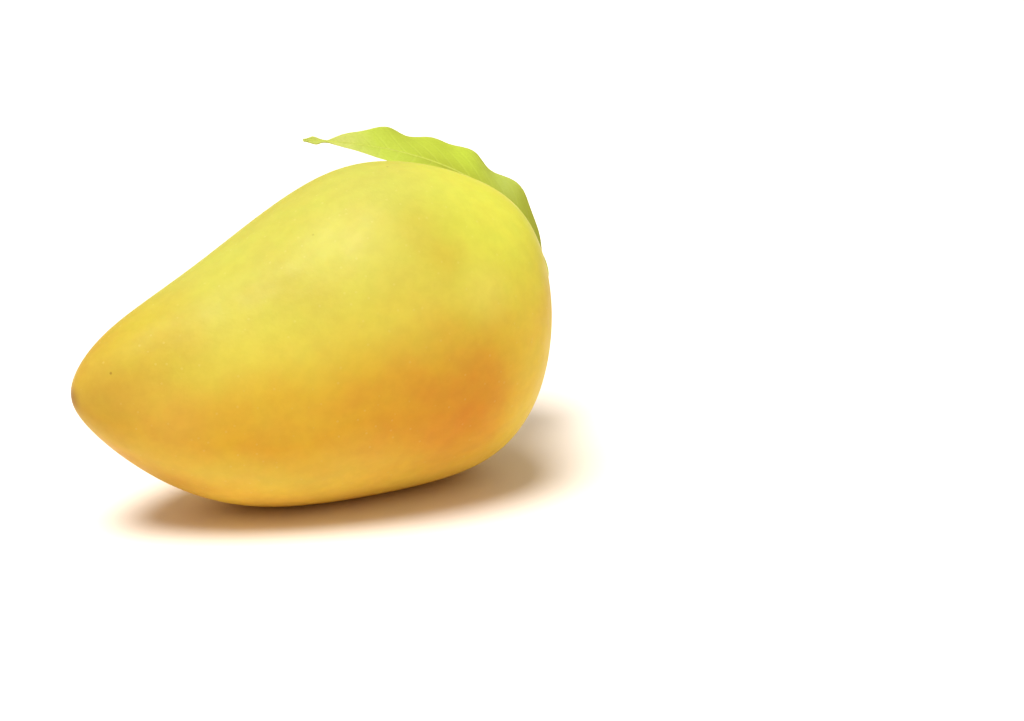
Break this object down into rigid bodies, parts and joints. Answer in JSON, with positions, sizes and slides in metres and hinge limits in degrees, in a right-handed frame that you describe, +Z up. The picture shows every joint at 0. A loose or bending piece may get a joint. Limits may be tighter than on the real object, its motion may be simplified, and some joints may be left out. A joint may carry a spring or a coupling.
{
  "type": "mango",
  "caption": "Whole ripe yellow mango resting on a small flat spot, with its short woody stalk stub and one wavy-edged leaf that arches over its shoulder on a thin leaf stalk.",
  "frame": {"origin": "the middle of the small flat spot that the fruit rests on, at the surface it stands on", "axes": "+Z up, +X along the fruit from its pointed tip to its stem end, +Y across the fruit's thickness, towards the side where the leaf lies"},
  "size_m": [0.1381, 0.0757, 0.0826],
  "materials": {
    "skin": "satin",
    "stalk": "matte",
    "leaf": "satin"
  },
  "bodies": {
    "root": {"mango_fruit": "skin", "stem": "stalk", "leaf": "leaf"}
  },
  "joints": []
}
